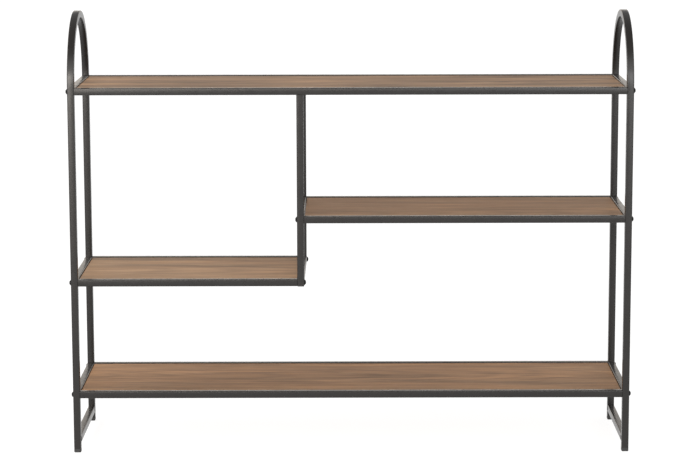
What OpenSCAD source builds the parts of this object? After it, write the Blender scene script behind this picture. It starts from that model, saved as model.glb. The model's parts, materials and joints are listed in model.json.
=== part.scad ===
// Low bookcase: two arched end frames of square tube, four bolted shelves and a short divider frame.
// The origin is on the floor, midway along the width and the depth. +X runs along the width, +Z is up.
// Front and rear are alike; -Y is called the front.

/* [Overall] */
// Width over the two end frames
overall_w = 1200; // [900:10:1600]
// Depth over the front and rear posts
overall_d = 310; // [240:10:400]
// Height at which the posts begin to bend into the arch
spring_z = 790; // [700:5:900]

/* [Square tube] */
// Side of the square tube
tube = 15; // [14:1:20]
// Wall thickness of the tube
wall = 1.2; // [0.8:0.1:1.5]
// Outer corner radius of the tube
corner_r = 1.6; // [1.6:0.1:3]

/* [Shelf heights] */
// Top face of the top shelf's rails
top_z = 791; // [760:1:800]
// Top face of the middle shelf's rails, on the right
middle_z = 516; // [470:1:560]
// Top face of the lower shelf's rails, on the left
lower_z = 380; // [330:1:420]
// Top face of the bottom shelf's rails
bottom_z = 135; // [110:1:200]
// Top face of the stretchers near the feet
stretcher_z = 35; // [30:1:60]

/* [Divider] */
// Centre of the divider frame along the width
divider_x = -107.5; // [-250:0.5:250]
// How far the divider's caps reach below the lower rails
divider_drop = 1; // [0:0.5:3]

/* [Boards] */
// Thickness of a board
board_t = 10; // [8:0.5:10]
// How far a board lies below the top of its rails
board_recess = 2; // [1:0.5:3]
// Gap between a board and the rails in front of it and behind it
board_gap = 0.5; // [0.3:0.1:1]
// Gap between each end of a board and the tube beside it
board_end_gap = 1.5; // [0.3:0.1:2.5]

/* [Board straps] */
// Width of a strap under a board
strap_w = 20; // [15:1:30]
// Longest stretch of board that one strap serves
strap_pitch = 400; // [300:10:500]
// Distance of a board screw from the middle of the depth
screw_y = 90; // [40:5:100]

/* [Fasteners] */
// Shank diameter of a frame bolt
bolt_d = 6; // [5:0.5:7]
// Length of a frame bolt's shank
bolt_len = 30; // [26:1:34]
// Diameter of a frame bolt's domed head
bolt_head_d = 11.8; // [10:0.1:13]
// Height of a frame bolt's domed head
bolt_head_h = 4; // [3:0.1:5]
// Width across the flats of the hexagon socket
hex_af = 4; // [3:0.5:5]

/* [Caps] */
// Height of the part of a foot cap that shows
foot_h = 8; // [6:0.5:12]
// Radius round the lower edge of a cap
cap_r = 2.4; // [1.6:0.1:3]

/* [Hidden] */

GUNMETAL = [0.26, 0.25, 0.24];
BLACK = [0.10, 0.10, 0.10];
WALNUT = [0.57, 0.46, 0.37];
ZINC = [0.72, 0.73, 0.72];

FRONT = -1;
REAR = 1;
LEFT = -1;
RIGHT = 1;

// Facets on small round parts
$fn = 32;
// Straight steps in each rounded corner of an outline
CORNER_STEPS = 4;
// Side clearance of a plug, stem or spigot inside a tube
PLUG_GAP = 0.1;
// Clearance on the diameter of a thread and of a plain bolt hole
THREAD_GAP = 0.1;
HOLE_GAP = 0.5;
// How far a cutting shape passes the face that it cuts
OVER = 1;
// Thickness of a slice in a blended shape, and the smallest corner radius of such a slice
THIN = 0.01;
CAP_CORNER_MIN = 0.3;

// Centres of the front and rear tubes, and the inner faces between which rungs and boards fit
post_y = (overall_d - tube) / 2;
inner_y = overall_d / 2 - tube;
// Centres of the end frames, and the faces between which the full-width shelves fit
end_x = (overall_w - tube) / 2;
end_inner_x = overall_w / 2 - tube;
// Bend radius at the middle of the tube
arch_r = post_y;

// A shelf is its left end, its right end and the top of its rails
top_shelf = [-end_inner_x, end_inner_x, top_z];
middle_shelf = [divider_x + tube / 2, end_inner_x, middle_z];
lower_shelf = [-end_inner_x, divider_x - tube / 2, lower_z];
bottom_shelf = [-end_inner_x, end_inner_x, bottom_z];

// Steel strap: flush with the underside of the rails and touching the underside of the board
strap_t = tube - board_recess - board_t;
board_corner_r = 1.5;

// Threaded plug in a rail end
plug_len = 18;

// Countersunk board screw: head and shank diameters, head height, reach into the board, cross recess
screw_head_d = 7;
screw_d = 3.5;
screw_head_h = 1.9;
screw_reach = 7;
screw_cross = [4, 0.9, 1.1];

// Spigot under a top rail and its locking screw, which shows on the inner face of the divider post
spigot_len = 22;
lock_z = top_z - tube - 12;
lock_d = 4;
lock_head_d = 7.4;
lock_head_h = 2.4;
lock_len = 9;
lock_slot = [5, 1, 1.2];

// Foot cap stem, divider cap thickness and the depth to which that cap enters the post
stem_len = 16;
end_cap_t = 3;
end_cap_plug = 1.5;
divider_foot_z = lower_z - tube - divider_drop;

function rounded_square(side, r) = [
    for (k = [0:3], i = [0:CORNER_STEPS])
        let (a = 90 * (k + i / CORNER_STEPS), c = side / 2 - r)
        [(k == 0 || k == 3 ? c : -c) + r * cos(a), (k < 2 ? c : -c) + r * sin(a)]
];

function strap_count(s) = max(2, round((s[1] - s[0]) / strap_pitch));

function strap_xs(s) = [
    for (i = [1:strap_count(s)]) s[0] + (s[1] - s[0]) * (i - 0.5) / strap_count(s)
];

// ---- Shapes that repeat ----

module tube_outline() {
    difference() {
        polygon(rounded_square(tube, corner_r));
        polygon(rounded_square(tube - 2 * wall, corner_r - wall));
    }
}

module plug_outline() {
    polygon(rounded_square(tube - 2 * wall - 2 * PLUG_GAP, corner_r - wall));
}

// Hole for a frame bolt, along X through a whole tube
module bolt_hole() {
    rotate([0, 90, 0])
        cylinder(d = bolt_d + HOLE_GAP, h = tube + 2 * OVER, center = true);
}

// Upside-down U of tube in the plane of Y and Z, bored for a bolt at each listed shelf height
module arch_tube(x, shelf_zs) {
    color(GUNMETAL)
        difference() {
            union() {
                for (y = [-post_y, post_y])
                    translate([x, y, foot_h])
                        linear_extrude(spring_z - foot_h)
                            tube_outline();
                translate([x, 0, spring_z])
                    rotate([90, 0, 90])
                        rotate_extrude(angle = 180, $fn = 96)
                            translate([arch_r, 0])
                                tube_outline();
            }
            for (y = [-post_y, post_y], z = shelf_zs)
                translate([x, y, z - tube / 2])
                    bolt_hole();
        }
}

// Straight tube along Y between the posts, with its top face at z
module rung(x, z) {
    color(GUNMETAL)
        translate([x, 0, z - tube / 2])
            rotate([90, 0, 0])
                linear_extrude(2 * inner_y, center = true)
                    tube_outline();
}

// Upright tube of the divider, bored for the bolts of two shelves and for the locking screw
module divider_post(side) {
    hole_d = lock_d + HOLE_GAP;
    color(GUNMETAL)
        translate([divider_x, side * post_y, 0])
            difference() {
                translate([0, 0, divider_foot_z + end_cap_t])
                    linear_extrude(top_z - tube - divider_foot_z - end_cap_t)
                        tube_outline();
                for (z = [middle_z, lower_z])
                    translate([0, 0, z - tube / 2])
                        bolt_hole();
                translate([0, -side * tube / 2, lock_z])
                    rotate([90, 0, 0])
                        cylinder(d = hole_d, h = 4 * wall, center = true);
            }
}

// Plastic cap with a rounded lower edge at z = 0 and a plug that stands in the tube above it
module cap(height, plug_h) {
    hull() {
        for (a = [0:15:90]) {
            inset = cap_r * (1 - sin(a));
            z = cap_r * (1 - cos(a));
            translate([0, 0, z])
                linear_extrude(a < 90 ? THIN : height - z)
                    polygon(rounded_square(tube - 2 * inset, max(corner_r - inset, CAP_CORNER_MIN)));
        }
    }
    translate([0, 0, height - OVER])
        linear_extrude(plug_h + OVER)
            plug_outline();
}

// Rail along X on the front or rear side of a shelf
module rail(s, side) {
    color(GUNMETAL)
        translate([s[0], side * post_y, s[2] - tube / 2])
            rotate([90, 0, 90])
                linear_extrude(s[1] - s[0])
                    tube_outline();
}

// Puts a shape, made with +Z pointing out of the shelf, at the four rail ends of a shelf
module at_rail_ends(s, out) {
    for (end = [LEFT, RIGHT], side = [FRONT, REAR])
        translate([(end == LEFT ? s[0] : s[1]) + end * out, side * post_y, s[2] - tube / 2])
            rotate([0, end * 90, 0])
                children();
}

// Threaded plugs, flush with the rail ends
module rail_plugs(s) {
    color(ZINC)
        at_rail_ends(s, -plug_len)
            linear_extrude(plug_len)
                difference() {
                    plug_outline();
                    circle(d = bolt_d + THREAD_GAP);
                }
}

// Domed bolts: the head lies on the outer face of the post, the shank crosses it into the plug
module bolts(s) {
    rim_h = 0.8;
    dome_h = bolt_head_h - rim_h;
    dome_r = (pow(bolt_head_d / 2, 2) + pow(dome_h, 2)) / (2 * dome_h);
    socket_h = 2.4;
    tip_h = 1;
    color(BLACK)
        at_rail_ends(s, tube) {
            difference() {
                union() {
                    intersection() {
                        cylinder(d = bolt_head_d, h = bolt_head_h);
                        translate([0, 0, bolt_head_h - dome_r])
                            sphere(r = dome_r, $fn = 64);
                    }
                    translate([0, 0, tip_h - bolt_len])
                        cylinder(d = bolt_d, h = bolt_len - tip_h + rim_h / 2);
                    translate([0, 0, -bolt_len])
                        cylinder(d1 = bolt_d - 2 * tip_h, d2 = bolt_d, h = tip_h);
                }
                translate([0, 0, bolt_head_h - socket_h])
                    cylinder(d = hex_af / cos(30), h = socket_h + OVER, $fn = 6);
            }
        }
}

// Puts a shape at each board screw of a shelf, on the underside of the straps
module at_board_screws(s) {
    for (x = strap_xs(s), y = [-screw_y, screw_y])
        translate([x, y, s[2] - tube])
            children();
}

// Flat straps along Y between the rails, countersunk from below
module board_straps(s) {
    color(GUNMETAL)
        difference() {
            for (x = strap_xs(s))
                translate([x - strap_w / 2, -inner_y, s[2] - tube])
                    cube([strap_w, 2 * inner_y, strap_t]);
            at_board_screws(s)
                union() {
                    cylinder(d1 = screw_head_d + THREAD_GAP, d2 = screw_d + THREAD_GAP, h = screw_head_h);
                    translate([0, 0, -OVER])
                        cylinder(d = screw_d + THREAD_GAP, h = strap_t + 2 * OVER);
                }
        }
}

// Board between the tubes, with a blind pilot hole for each screw in its underside
module board(s) {
    size = [s[1] - s[0] - 2 * board_end_gap, 2 * (inner_y - board_gap)];
    c = size / 2 - [board_corner_r, board_corner_r];
    outline = [
        for (k = [0:3], i = [0:CORNER_STEPS])
            let (a = 90 * (k + i / CORNER_STEPS))
            [(k == 0 || k == 3 ? c[0] : -c[0]) + board_corner_r * cos(a),
             (k < 2 ? c[1] : -c[1]) + board_corner_r * sin(a)]
    ];
    color(WALNUT)
        difference() {
            translate([(s[0] + s[1]) / 2, 0, s[2] - board_recess - board_t])
                linear_extrude(board_t)
                    polygon(outline);
            at_board_screws(s)
                cylinder(d = screw_d + THREAD_GAP, h = strap_t + screw_reach + THREAD_GAP);
        }
}

// Countersunk screws, flush with the underside of the straps
module board_screws(s) {
    color(ZINC)
        at_board_screws(s)
            difference() {
                union() {
                    cylinder(d1 = screw_head_d, d2 = screw_d, h = screw_head_h);
                    cylinder(d = screw_d, h = strap_t + screw_reach);
                }
                for (a = [0, 90])
                    rotate([0, 0, a])
                        translate([-screw_cross[0] / 2, -screw_cross[1] / 2, -OVER])
                            cube([screw_cross[0], screw_cross[1], screw_cross[2] + OVER]);
            }
}

// ---- Sub-parts that are not made from one of the shapes above alone ----

// Short plugs under the top rails, tapped for the locking screws
module divider_spigots() {
    color(ZINC)
        for (side = [FRONT, REAR])
            difference() {
                translate([divider_x, side * post_y, top_z - tube - spigot_len])
                    linear_extrude(spigot_len)
                        plug_outline();
                translate([divider_x, side * post_y, lock_z])
                    rotate([90, 0, 0])
                        cylinder(d = lock_d + THREAD_GAP, h = tube, center = true);
            }
}

// Slotted screws on the inner faces of the divider posts
module divider_lock_screws() {
    color(BLACK)
        for (side = [FRONT, REAR])
            translate([divider_x, side * inner_y, lock_z])
                rotate([side * 90, 0, 0])
                    difference() {
                        union() {
                            cylinder(d = lock_head_d, h = lock_head_h);
                            translate([0, 0, OVER - lock_len])
                                cylinder(d = lock_d, h = lock_len);
                        }
                        translate([-lock_slot[0] / 2, -lock_slot[1] / 2, lock_head_h - lock_slot[2]])
                            cube([lock_slot[0], lock_slot[1], lock_slot[2] + OVER]);
                    }
}

module divider_end_caps() {
    color(BLACK)
        for (side = [FRONT, REAR])
            translate([divider_x, side * post_y, divider_foot_z])
                cap(end_cap_t, end_cap_plug);
}

module foot_caps() {
    color(BLACK)
        for (x = [-end_x, end_x], y = [-post_y, post_y])
            translate([x, y, 0])
                cap(foot_h, stem_len);
}

// ---- Left end frame ----
arch_tube(-end_x, [top_z, lower_z, bottom_z]);  // left_arch_tube
rung(-end_x, top_z);  // left_top_rung
rung(-end_x, lower_z);  // left_lower_rung
rung(-end_x, bottom_z);  // left_bottom_rung
rung(-end_x, stretcher_z);  // left_foot_stretcher

// ---- Right end frame ----
arch_tube(end_x, [top_z, middle_z, bottom_z]);  // right_arch_tube
rung(end_x, top_z);  // right_top_rung
rung(end_x, middle_z);  // right_middle_rung
rung(end_x, bottom_z);  // right_bottom_rung
rung(end_x, stretcher_z);  // right_foot_stretcher

// ---- Divider frame ----
divider_post(FRONT);  // divider_front_post
divider_post(REAR);  // divider_rear_post
rung(divider_x, middle_z);  // divider_middle_rung
rung(divider_x, lower_z);  // divider_lower_rung
divider_spigots();
divider_lock_screws();
divider_end_caps();
foot_caps();

// ---- Top shelf ----
rail(top_shelf, FRONT);  // top_front_rail
rail(top_shelf, REAR);  // top_rear_rail
rail_plugs(top_shelf);  // top_rail_plugs
bolts(top_shelf);  // top_bolts
board_straps(top_shelf);  // top_board_straps
board(top_shelf);  // top_board
board_screws(top_shelf);  // top_board_screws

// ---- Middle shelf ----
rail(middle_shelf, FRONT);  // middle_front_rail
rail(middle_shelf, REAR);  // middle_rear_rail
rail_plugs(middle_shelf);  // middle_rail_plugs
bolts(middle_shelf);  // middle_bolts
board_straps(middle_shelf);  // middle_board_straps
board(middle_shelf);  // middle_board
board_screws(middle_shelf);  // middle_board_screws

// ---- Lower shelf ----
rail(lower_shelf, FRONT);  // lower_front_rail
rail(lower_shelf, REAR);  // lower_rear_rail
rail_plugs(lower_shelf);  // lower_rail_plugs
bolts(lower_shelf);  // lower_bolts
board_straps(lower_shelf);  // lower_board_straps
board(lower_shelf);  // lower_board
board_screws(lower_shelf);  // lower_board_screws

// ---- Bottom shelf ----
rail(bottom_shelf, FRONT);  // bottom_front_rail
rail(bottom_shelf, REAR);  // bottom_rear_rail
rail_plugs(bottom_shelf);  // bottom_rail_plugs
bolts(bottom_shelf);  // bottom_bolts
board_straps(bottom_shelf);  // bottom_board_straps
board(bottom_shelf);  // bottom_board
board_screws(bottom_shelf);  // bottom_board_screws
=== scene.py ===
"""Looks of the low bookcase: powder-coated square tube, wood boards, weld beads, studio light and camera."""

import json
import math

import bmesh
import bpy
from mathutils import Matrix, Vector, noise


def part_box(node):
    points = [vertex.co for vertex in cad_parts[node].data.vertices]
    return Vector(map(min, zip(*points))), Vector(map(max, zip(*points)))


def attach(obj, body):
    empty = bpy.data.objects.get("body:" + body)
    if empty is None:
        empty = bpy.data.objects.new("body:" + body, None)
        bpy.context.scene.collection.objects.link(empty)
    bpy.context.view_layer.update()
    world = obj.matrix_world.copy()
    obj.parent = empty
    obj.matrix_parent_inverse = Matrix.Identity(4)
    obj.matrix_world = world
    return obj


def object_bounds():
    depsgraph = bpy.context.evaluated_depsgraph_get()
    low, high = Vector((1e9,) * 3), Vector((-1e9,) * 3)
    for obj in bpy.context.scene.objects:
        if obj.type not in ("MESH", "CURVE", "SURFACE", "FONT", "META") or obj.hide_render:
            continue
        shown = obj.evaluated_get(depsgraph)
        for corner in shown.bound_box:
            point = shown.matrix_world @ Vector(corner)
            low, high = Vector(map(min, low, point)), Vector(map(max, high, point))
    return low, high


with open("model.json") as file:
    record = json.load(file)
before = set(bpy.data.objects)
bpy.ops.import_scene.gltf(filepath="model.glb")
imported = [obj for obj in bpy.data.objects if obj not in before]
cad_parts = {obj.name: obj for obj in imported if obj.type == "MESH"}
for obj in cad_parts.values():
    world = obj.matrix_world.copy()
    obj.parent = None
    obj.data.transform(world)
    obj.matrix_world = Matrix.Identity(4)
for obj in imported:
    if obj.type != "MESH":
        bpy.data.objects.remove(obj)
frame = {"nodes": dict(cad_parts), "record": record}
cad_low, cad_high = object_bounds()
scene = bpy.context.scene

# ---------------------------------------------------------------- sizes taken from the frame
MM = 0.001
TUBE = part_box("top_front_rail")[1].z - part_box("top_front_rail")[0].z
DEPTH = cad_high.y - cad_low.y

END_RUNGS = (
    "left_top_rung", "left_lower_rung", "left_bottom_rung", "left_foot_stretcher",
    "right_top_rung", "right_middle_rung", "right_bottom_rung", "right_foot_stretcher",
    "divider_middle_rung", "divider_lower_rung",
)

# ---------------------------------------------------------------- camera
SENSOR_MM = 36
LENS_MM = 125.27
CAMERA_DISTANCE = 5.1336  # in front of the bookcase's front
EYE_HEIGHT = 1.2984
PITCH_DEG = 9.066  # down from level
ROLL_DEG = 0.126


def make_camera():
    data = bpy.data.cameras.new("camera")
    data.sensor_width = SENSOR_MM
    data.lens = LENS_MM
    camera = bpy.data.objects.new("camera", data)
    camera.location = (0, cad_low.y - CAMERA_DISTANCE, EYE_HEIGHT)
    camera.rotation_euler = (math.radians(90 - PITCH_DEG), math.radians(ROLL_DEG), 0)
    scene.collection.objects.link(camera)
    scene.camera = camera


# ---------------------------------------------------------------- node helpers
class Nodes:
    """A small wrapper that makes nodes in a tree and joins them."""

    def __init__(self, tree):
        self.tree = tree
        tree.nodes.clear()

    def new(self, kind, inputs=None, **settings):
        made = self.tree.nodes.new(kind)
        for name, value in settings.items():
            setattr(made, name, value)
        for name, value in (inputs or {}).items():
            socket = made.inputs[name]
            if isinstance(value, bpy.types.NodeSocket):
                self.tree.links.new(value, socket)
            else:
                socket.default_value = value
        return made

    def math(self, operation, *values, clamp=False):
        made = self.new("ShaderNodeMath", dict(enumerate(values)), operation=operation, use_clamp=clamp)
        return made.outputs[0]

    def mix(self, share, a, b, blend="MIX"):
        made = self.new("ShaderNodeMix", {0: share, 6: a, 7: b}, data_type="RGBA", blend_type=blend)
        return made.outputs[2]

    def ramp(self, value, stops):
        made = self.new("ShaderNodeValToRGB", {0: value})
        elements = made.color_ramp.elements
        while len(elements) < len(stops):
            elements.new(0.5)
        for element, (place, colour) in zip(elements, stops):
            element.position = place
            element.color = colour if len(colour) == 4 else (*colour, 1)
        return made.outputs[0]

    def noise(self, vector, scale, detail=2.0, roughness=0.5, distortion=0.0):
        inputs = {"Vector": vector, "Scale": scale, "Detail": detail,
                  "Roughness": roughness, "Distortion": distortion}
        return self.new("ShaderNodeTexNoise", inputs).outputs[0]

    def remap(self, value, from_low, from_high, to_low=0.0, to_high=1.0):
        inputs = {0: value, 1: from_low, 2: from_high, 3: to_low, 4: to_high}
        return self.new("ShaderNodeMapRange", inputs).outputs[0]

    def stretch(self, vector, scale, offset=(0, 0, 0)):
        inputs = {"Vector": vector, "Scale": scale, "Location": offset}
        return self.new("ShaderNodeMapping", inputs).outputs[0]

    def bump(self, height, distance, strength=1.0, normal=None):
        inputs = {"Height": height, "Distance": distance, "Strength": strength}
        if normal is not None:
            inputs["Normal"] = normal
        return self.new("ShaderNodeBump", inputs).outputs[0]


def material(name):
    made = bpy.data.materials.new(name)
    made.use_nodes = True
    return made, Nodes(made.node_tree)


def finish_surface(nodes, inputs):
    shader = nodes.new("ShaderNodeBsdfPrincipled", inputs)
    nodes.new("ShaderNodeOutputMaterial", {"Surface": shader.outputs[0]})


def grey(level):
    return (level, level, level, 1)


# ---------------------------------------------------------------- materials
EDGE_WEAR_RADIUS = 1.0 * MM
SPECK_SCALE = 1800
PEEL_SCALE = 900
PEEL_HEIGHT = 0.02 * MM
WAVE_SCALE = 160
WAVE_HEIGHT = 0.03 * MM

# wood colours, and how much a dark or a light streak changes each channel
SMOKY = (0.240, 0.158, 0.100)
WARM_WOOD = (0.328, 0.190, 0.104)
PALE = (0.420, 0.268, 0.158)
DEEP = (0.130, 0.080, 0.050)
SMOKE_TINT = (1.0, 0.97, 0.90)
PALE_TINT = (1.0, 0.94, 0.80)

# the log that the boards are sawn from: its axis lies below the board and leans along it
RING_SPACING = 7.5 * MM
LOG_DEPTH = 0.10
LOG_LEAN = 0.055
WANDER_ACROSS = 0.09
WANDER_DOWN = 0.045

FIBRE_HEIGHT = 0.04 * MM
PORE_DEPTH = 0.06 * MM


def powder_coat(name, light, dark, rough_low, rough_high, ior=1.45):
    """Satin powder coat: a fine orange peel, a faintly cloudy tone and slightly polished edges."""
    made, n = material(name)
    place = n.new("ShaderNodeTexCoord").outputs["Object"]
    cloud = n.noise(place, 14, 3, 0.6)
    colour = n.ramp(cloud, [(0.3, dark), (0.7, light)])
    speck = n.noise(place, SPECK_SCALE, 2, 0.7)
    colour = n.mix(n.math("MULTIPLY", speck, 0.2), colour, (*[c * 1.5 for c in light], 1))
    rounded = n.new("ShaderNodeBevel", {"Radius": EDGE_WEAR_RADIUS}, samples=6).outputs[0]
    straight = n.new("ShaderNodeNewGeometry").outputs["Normal"]
    compare = n.new("ShaderNodeVectorMath", {0: rounded, 1: straight}, operation="DOT_PRODUCT")
    facing = compare.outputs["Value"]
    edge = n.math("MULTIPLY", n.math("SUBTRACT", 1.0, facing), 5.0, clamp=True)
    worn = n.ramp(n.noise(place, 60, 4, 0.7), [(0.50, grey(0)), (0.72, grey(1))])
    rub = n.math("MULTIPLY", edge, worn)
    colour = n.mix(n.math("MULTIPLY", rub, 0.2), colour, (*[c * 2.2 for c in light], 1))
    smear = n.noise(place, 45, 4, 0.65)
    rough = n.remap(smear, 0.3, 0.7, rough_low, rough_high)
    peel = n.bump(n.noise(place, PEEL_SCALE, 3, 0.6), PEEL_HEIGHT, 0.07)
    wave = n.bump(n.noise(place, WAVE_SCALE, 2, 0.5), WAVE_HEIGHT, 0.08, peel)
    finish_surface(n, {"Base Color": colour, "Roughness": rough, "Normal": wave, "IOR": ior})
    return made


def around_one(swing, colour):
    """A shade to multiply with: 1 moved by swing, less in the channels where colour is small."""
    return [1 + swing * c for c in colour]


def board_wood(name, offset, tone, heart, contrast, painted_light_slope):
    """Oiled brown wood with its grain along X.

    offset picks the piece of grain, tone shades the three channels, and heart is where the log's axis lies
    across the board. contrast strengthens the streaks, and the last argument paints light onto the rear and
    shade
    onto the front: a painted light gradient for the light falling from behind, not a colour of the wood.
    """
    made, n = material(name)
    place = n.new("ShaderNodeTexCoord").outputs["Object"]
    x, y, _ = n.new("ShaderNodeSeparateXYZ", {0: place}).outputs

    def grain(along, across, detail=2.0, roughness=0.5, distortion=0.0):
        return n.noise(n.stretch(place, (along, across, across), offset), 1, detail, roughness, distortion)

    def streaks(colour, pattern, swing):
        dark = around_one(-swing, SMOKE_TINT)
        light = around_one(swing, PALE_TINT)
        shade = n.ramp(pattern, [(0.30, dark), (0.50, (1, 1, 1)), (0.70, light)])
        return n.mix(1.0, colour, shade, "MULTIPLY")

    # distance from the axis of a log that leans through the board: its rings cut to nested flames
    side = n.math("ADD", n.math("SUBTRACT", y, heart), n.math("MULTIPLY", grain(2.2, 7), WANDER_ACROSS))
    axis = n.math("MULTIPLY_ADD", x, LOG_LEAN, LOG_DEPTH)
    sink = n.math("ADD", axis, n.math("MULTIPLY", grain(1.4, 3), WANDER_DOWN))
    reach = n.math("SQRT", n.math("ADD", n.math("POWER", side, 2.0), n.math("POWER", sink, 2.0)))
    ring = n.math("SINE", n.math("MULTIPLY", reach, 2 * math.pi / RING_SPACING))
    late = n.math("POWER", n.math("MULTIPLY_ADD", ring, 0.5, 0.5), 2.2)

    shades = (SMOKY, WARM_WOOD, PALE, DEEP)
    smoky, warm, pale, deep = ([c * t for c, t in zip(shade, tone)] for shade in shades)
    colour = n.ramp(grain(0.9, 9, 3, 0.6, 0.5), [(0.30, smoky), (0.47, warm), (0.58, warm), (0.78, pale)])
    colour = n.mix(n.math("MULTIPLY", late, 0.28), colour, (*deep, 1))
    colour = streaks(colour, grain(2.3, 21, 3, 0.55, 0.6), 0.25 * contrast)
    colour = streaks(colour, grain(3.6, 44, 3, 0.60, 0.7), 0.19 * contrast)
    colour = streaks(colour, grain(2.0, 90, 4, 0.65, 0.4), 0.17 * contrast)
    # painted light: the colour is lightened towards the rear and shaded towards the front, standing in for
    # light from behind
    across = n.remap(y, -DEPTH / 2, DEPTH / 2, 1 - painted_light_slope, 1 + painted_light_slope)
    colour = n.mix(1.0, colour, across, "MULTIPLY")
    line = n.ramp(grain(1.7, 210, 2, 0.5), [(0.30, grey(1)), (0.40, grey(0))])
    colour = n.mix(n.math("MULTIPLY", line, 0.24), colour, (*deep, 1))
    fleck = n.ramp(grain(7, 46, 3, 0.6, 0.8), [(0.60, grey(0)), (0.76, grey(1))])
    colour = n.mix(n.math("MULTIPLY", fleck, 0.50), colour, (*[c * 1.15 for c in pale], 1))
    patch = n.ramp(grain(2.5, 8), [(0.55, grey(0)), (0.68, grey(1))])
    figure = n.ramp(grain(60, 34, 2, 0.5, 0.5), [(0.52, grey(0)), (0.68, grey(1))])
    colour = n.mix(n.math("MULTIPLY", n.math("MULTIPLY", patch, figure), 0.18), colour, (*pale, 1))
    fibre = grain(26, 800, 3, 0.6)
    colour = n.mix(0.55, colour, n.ramp(fibre, [(0.3, grey(0.80)), (0.6, grey(1.06))]), "MULTIPLY")
    pore = n.ramp(grain(60, 1500, 1), [(0.62, grey(0)), (0.72, grey(1))])
    colour = n.mix(n.math("MULTIPLY", pore, 0.40), colour, (*deep, 1))

    rough = n.remap(fibre, 0.3, 0.7, 0.66, 0.56)
    relief = n.bump(fibre, FIBRE_HEIGHT, 0.7)
    pits = n.bump(n.math("SUBTRACT", 1.0, pore), PORE_DEPTH, 0.6, relief)
    finish_surface(n, {"Base Color": colour, "Roughness": rough, "Normal": pits, "Specular IOR Level": 0.24})
    return made


def moulded_plastic(name):
    """Matt black plastic with a fine spark-eroded grain and faint scuffs."""
    made, n = material(name)
    place = n.new("ShaderNodeTexCoord").outputs["Object"]
    grain = n.noise(place, 2200, 3, 0.7)
    scuff = n.noise(n.stretch(place, (90, 90, 400)), 1, 4, 0.7)
    colour = n.ramp(scuff, [(0.35, (0.010, 0.010, 0.010)), (0.75, (0.028, 0.027, 0.026))])
    rough = n.remap(scuff, 0.3, 0.7, 0.62, 0.48)
    bump = n.bump(grain, 0.03 * MM, 0.6)
    finish_surface(n, {"Base Color": colour, "Roughness": rough, "Normal": bump})
    return made


def zinc_plate(name):
    """Bright zinc plate: a cool metal with cloudy passivation and fine drawn lines."""
    made, n = material(name)
    place = n.new("ShaderNodeTexCoord").outputs["Object"]
    cloud = n.noise(place, 90, 4, 0.6)
    lines = n.noise(n.stretch(place, (2500, 300, 2500)), 1, 2, 0.5)
    colour = n.ramp(cloud, [(0.3, (0.42, 0.43, 0.44)), (0.55, (0.60, 0.61, 0.60)), (0.8, (0.68, 0.66, 0.58))])
    rough = n.remap(cloud, 0.3, 0.7, 0.24, 0.38)
    bump = n.bump(lines, 0.01 * MM, 0.5)
    finish_surface(n, {"Base Color": colour, "Metallic": 1.0, "Roughness": rough, "Normal": bump})
    return made


def pale_floor():
    made, n = material("pale_floor")
    place = n.new("ShaderNodeTexCoord").outputs["Object"]
    cloud = n.noise(place, 0.8, 3, 0.5)
    colour = n.ramp(cloud, [(0.3, grey(0.20)), (0.7, grey(0.23))])
    finish_surface(n, {"Base Color": colour, "Roughness": 0.9, "Specular IOR Level": 0.1,
                       "Emission Color": grey(1), "Emission Strength": 0.88})
    return made


# ---------------------------------------------------------------- smooth shading of the CAD meshes
SMOOTH_ANGLE = math.radians(38)
JOIN_DISTANCE = 0.005 * MM
EASED_ANGLE = math.radians(50)


def soft_corner_group():
    """Geometry nodes that join the faces of a tube and shade its rounded corners as one curve."""
    group = bpy.data.node_groups.new("soft_corners", "GeometryNodeTree")
    group.interface.new_socket("Geometry", in_out="INPUT", socket_type="NodeSocketGeometry")
    group.interface.new_socket("Geometry", in_out="OUTPUT", socket_type="NodeSocketGeometry")
    n = Nodes(group)
    start = n.new("NodeGroupInput").outputs[0]
    plain = n.new("GeometryNodeRemoveAttribute", {"Geometry": start, "Name": "custom_normal"}).outputs[0]
    joined = n.new("GeometryNodeMergeByDistance", {"Geometry": plain, "Distance": JOIN_DISTANCE}).outputs[0]
    smooth = n.new("GeometryNodeSetShadeSmooth", {"Geometry": joined, "Shade Smooth": True}, domain="FACE")
    angle = n.new("GeometryNodeInputMeshEdgeAngle").outputs[0]
    sharp = n.new("FunctionNodeCompare", {0: angle, 1: SMOOTH_ANGLE}, operation="GREATER_THAN").outputs[0]
    inputs = {"Geometry": smooth.outputs[0], "Selection": sharp, "Shade Smooth": False}
    creased = n.new("GeometryNodeSetShadeSmooth", inputs, domain="EDGE")
    n.new("NodeGroupOutput", {0: creased.outputs[0]})
    return group


def soften(piece, group):
    """Put the soft corners on a piece, without touching its mesh."""
    piece.modifiers.new("soft_corners", "NODES").node_group = group


def ease_edges(piece, width):
    """A small rounding on the sharp edges of a board."""
    bevel = piece.modifiers.new("eased_edges", "BEVEL")
    bevel.limit_method = "ANGLE"
    bevel.angle_limit = EASED_ANGLE
    bevel.width = width
    bevel.segments = 2
    bevel.harden_normals = False


# ---------------------------------------------------------------- weld beads
BEAD_RADIUS = 1.3 * MM
BEAD_SINK = 0.45 * MM  # how far the root of a bead lies below the rung's face
BEAD_STEPS = 64
BEAD_SIDES = 10
CORNER_GAP = 1.6 * MM  # a bead stops this far short of the tube's edge
END_RADIUS_SHARE = 0.05  # what is left of the radius at a bead's ends
RIPPLE_PITCH = 2.1 * MM
RIPPLE_SHARE = 0.10
WANDER_SHARE = 0.14
WANDER_RATE = 420  # per metre along the bead
SIDE_STEP = 7.1  # how far apart the four sides draw their wander


def bead_point(side, along, half):
    """A point of the square path round a tube's end, and the outward direction there. side is 0 to 3."""
    turn = math.radians(90 * side)
    out = (math.cos(turn), math.sin(turn))
    run = (-out[1], out[0])
    return (out[0] * half + run[0] * along, out[1] * half + run[1] * along), out


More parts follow.
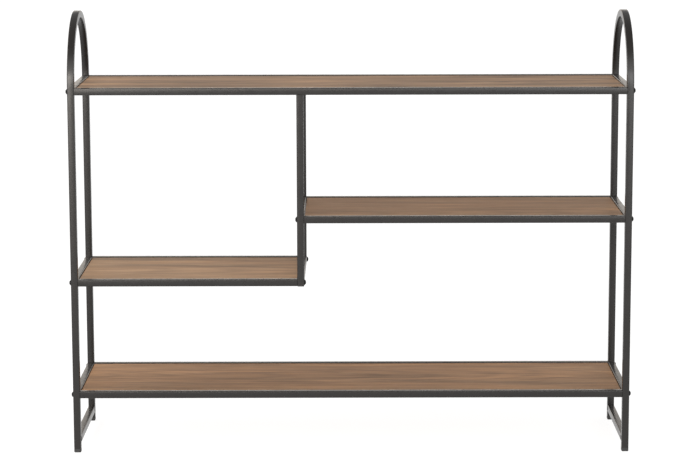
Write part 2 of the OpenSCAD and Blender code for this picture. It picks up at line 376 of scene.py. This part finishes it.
def weld_bead(mesh, centre, facing, seed):
    """One bead on each of the four sides of a rung's end; facing is +1 or -1 along Y, away from the post.

    A section of a bead is a quarter round whose root lies at the post, just below the rung's face.
    """
    half = TUBE / 2 - BEAD_SINK
    reach = TUBE / 2 - CORNER_GAP
    for side in range(4):
        rings = []
        for step in range(BEAD_STEPS + 1):
            share = step / BEAD_STEPS
            along = -reach + 2 * reach * share
            (px, pz), out = bead_point(side, along, half)
            taper = min(1.0, math.sqrt(max(0.0, 1 - abs(2 * share - 1) ** 6)) + END_RADIUS_SHARE)
            ripple = 1 + RIPPLE_SHARE * math.cos(2 * math.pi * along / RIPPLE_PITCH)
            wander = 1 + WANDER_SHARE * noise.noise(Vector((along * WANDER_RATE, side * SIDE_STEP, seed)))
            radius = BEAD_RADIUS * taper * ripple * wander
            ring = []
            for k in range(BEAD_SIDES + 1):
                a = math.pi / 2 * k / BEAD_SIDES
                height = radius * math.sin(a)
                step_y = facing * radius * math.cos(a)
                ring.append(mesh.verts.new((
                    centre.x + px + out[0] * height,
                    centre.y + step_y,
                    centre.z + pz + out[1] * height,
                )))
            root = mesh.verts.new((centre.x + px, centre.y, centre.z + pz))
            ring.append(root)
            rings.append(ring)
        count = len(rings[0])
        for a, b in zip(rings, rings[1:]):
            for k in range(count):
                quad = (a[k], b[k], b[(k + 1) % count], a[(k + 1) % count])
                mesh.faces.new(quad)
        mesh.faces.new(rings[0])
        mesh.faces.new(reversed(rings[-1]))


def weld_beads(name, rungs, paint):
    """The weld beads at both ends of each listed rung, as one piece."""
    mesh = bmesh.new()
    for index, rung in enumerate(rungs):
        low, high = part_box(rung)
        middle = (low + high) / 2
        weld_bead(mesh, Vector((middle.x, low.y, middle.z)), 1, index * 2.0)
        weld_bead(mesh, Vector((middle.x, high.y, middle.z)), -1, index * 2.0 + 1)
    bmesh.ops.recalc_face_normals(mesh, faces=mesh.faces)
    for face in mesh.faces:
        face.smooth = True
    data = bpy.data.meshes.new(name)
    mesh.to_mesh(data)
    mesh.free()
    piece = bpy.data.objects.new(name, data)
    scene.collection.objects.link(piece)
    data.materials.append(paint)
    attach(piece, "root")


# ---------------------------------------------------------------- floor, light and world
FLOOR_SIZE = 60.0

NEUTRAL = (1.0, 1.0, 1.0)
WARM = (1.0, 0.94, 0.87)
# name, azimuth and elevation in degrees, distance, width, height, watts, colour
SOFT_BOXES = (
    ("soft_box_left_high", -17, 15, 3.6, 1.7, 0.8, 25, WARM),
    ("soft_box_right_high", 13, 15, 3.6, 1.7, 0.8, 18, NEUTRAL),
    ("soft_box_left", -23, 9, 3.6, 1.1, 1.3, 30, WARM),
    ("soft_box_right", 21, 9, 3.6, 1.1, 1.3, 12, NEUTRAL),
    ("soft_box_side", -85, 30, 2.6, 1.4, 1.4, 26, WARM),
)

# the surroundings have a colour at each of four heights, where 0 is the horizon and 1 is overhead
WORLD_STRENGTH = 2.41
LOW_HEIGHT = 0.18
MIDDLE_HEIGHT = 0.38
UPPER_HEIGHT = 0.50
HIGH_HEIGHT = 0.75
HIGH_COLOUR = (0.22, 0.22, 0.22)
WORLD_BLEND = 0.5  # how far to each side one part of the surroundings fades into the next


def make_floor():
    mesh = bmesh.new()
    bmesh.ops.create_grid(mesh, x_segments=1, y_segments=1, size=FLOOR_SIZE / 2)
    data = bpy.data.meshes.new("floor")
    mesh.to_mesh(data)
    mesh.free()
    floor = bpy.data.objects.new("floor", data)
    floor.location.z = cad_low.z
    scene.collection.objects.link(floor)
    data.materials.append(pale_floor())


def area_light(name, azimuth, elevation, distance, width, height, watts, colour):
    """A soft box that looks at the middle of the bookcase; azimuth 0 is in front, positive to the right."""
    data = bpy.data.lights.new(name, "AREA")
    data.shape = "RECTANGLE"
    data.size = width
    data.size_y = height
    data.energy = watts
    data.color = colour
    light = bpy.data.objects.new(name, data)
    a = math.radians(azimuth)
    e = math.radians(elevation)
    away = Vector((math.sin(a) * math.cos(e), -math.cos(a) * math.cos(e), math.sin(e)))
    light.location = (cad_low + cad_high) / 2 + away * distance
    light.rotation_mode = "QUATERNION"
    light.rotation_quaternion = away.to_track_quat("Z", "Y")
    scene.collection.objects.link(light)


def make_world():
    """White near and below the horizon, as in a white cove: brighter in front and above, dimmer overhead."""
    world = bpy.data.worlds.new("studio")
    world.use_nodes = True
    scene.world = world
    n = Nodes(world.node_tree)
    direction = n.new("ShaderNodeTexCoord").outputs["Generated"]
    x, y, up = n.new("ShaderNodeSeparateXYZ", {0: direction}).outputs

    def sky(low, middle, upper):
        heights = (LOW_HEIGHT, MIDDLE_HEIGHT, UPPER_HEIGHT, HIGH_HEIGHT)
        return n.ramp(up, list(zip(heights, (low, middle, upper, HIGH_COLOUR))))

    front = sky(grey(0.29), grey(0.94), grey(0.98))
    right = sky((0.41, 0.395, 0.375), grey(0.14), grey(0.14))
    left = sky((0.67, 0.612, 0.545), grey(0.20), grey(0.17))
    to_right = n.remap(x, -WORLD_BLEND, WORLD_BLEND)
    to_back = n.remap(y, -WORLD_BLEND, WORLD_BLEND)
    colour = n.mix(to_back, front, n.mix(to_right, left, right))
    back = n.new("ShaderNodeBackground", {"Color": colour, "Strength": WORLD_STRENGTH})
    n.new("ShaderNodeOutputWorld", {"Surface": back.outputs[0]})


def make_studio():
    make_floor()
    make_world()
    for soft_box in SOFT_BOXES:
        area_light(*soft_box)
    scene.view_settings.view_transform = "Standard"
    scene.view_settings.look = "None"


# ---------------------------------------------------------------- put it together
GUNMETAL_LIGHT = (0.0078, 0.0062, 0.0052)
GUNMETAL_DARK = (0.0055, 0.0044, 0.0037)
BOLT_LIGHT = (0.0025, 0.0025, 0.0025)
BOLT_DARK = (0.0015, 0.0015, 0.0015)
BOARD_EASING = 0.5 * MM

# offset, tone, heart, contrast and painted front-to-rear light gradient of each board's wood
BOARDS = {
    "top_board": ((0.00, 0.0, 0.0), (0.885, 0.925, 0.99), 0.03, 1.9, 0.03),
    "middle_board": ((3.70, 1.3, 0.0), (0.94, 0.96, 0.99), -0.05, 1.0, 0.0),
    "lower_board": ((7.90, 4.1, 0.0), (1.00, 1.075, 1.15), 0.01, 1.15, -0.04),
    "bottom_board": ((12.3, 6.7, 0.0), (0.925, 0.915, 0.90), 0.06, 1.15, 0.22),
}


def dress_cad():
    """Give every CAD node its material and soft corners, and return the frame's paint."""
    corners = soft_corner_group()
    paint = powder_coat("gunmetal_powder_coat", GUNMETAL_LIGHT, GUNMETAL_DARK, 0.24, 0.31)
    looks = {
        "frame_steel": paint,
        "black_steel": powder_coat("black_bolt_finish", BOLT_LIGHT, BOLT_DARK, 0.42, 0.55, 1.22),
        "black_plastic": moulded_plastic("black_plastic"),
        "zinc_steel": zinc_plate("zinc_plate"),
    }
    woods = {node: board_wood(node + "_wood", *figure) for node, figure in BOARDS.items()}
    slots = {s["node"]: s["material_slot"] for s in frame["record"]["subparts"]}
    for node, piece in frame["nodes"].items():
        look = woods.get(node) or looks[slots[node]]
        for place in piece.material_slots:
            place.material = look
        soften(piece, corners)
        if node in woods:
            ease_edges(piece, BOARD_EASING)
    return paint


make_camera()
paint = dress_cad()
weld_beads("rung_welds", END_RUNGS, paint)
make_studio()
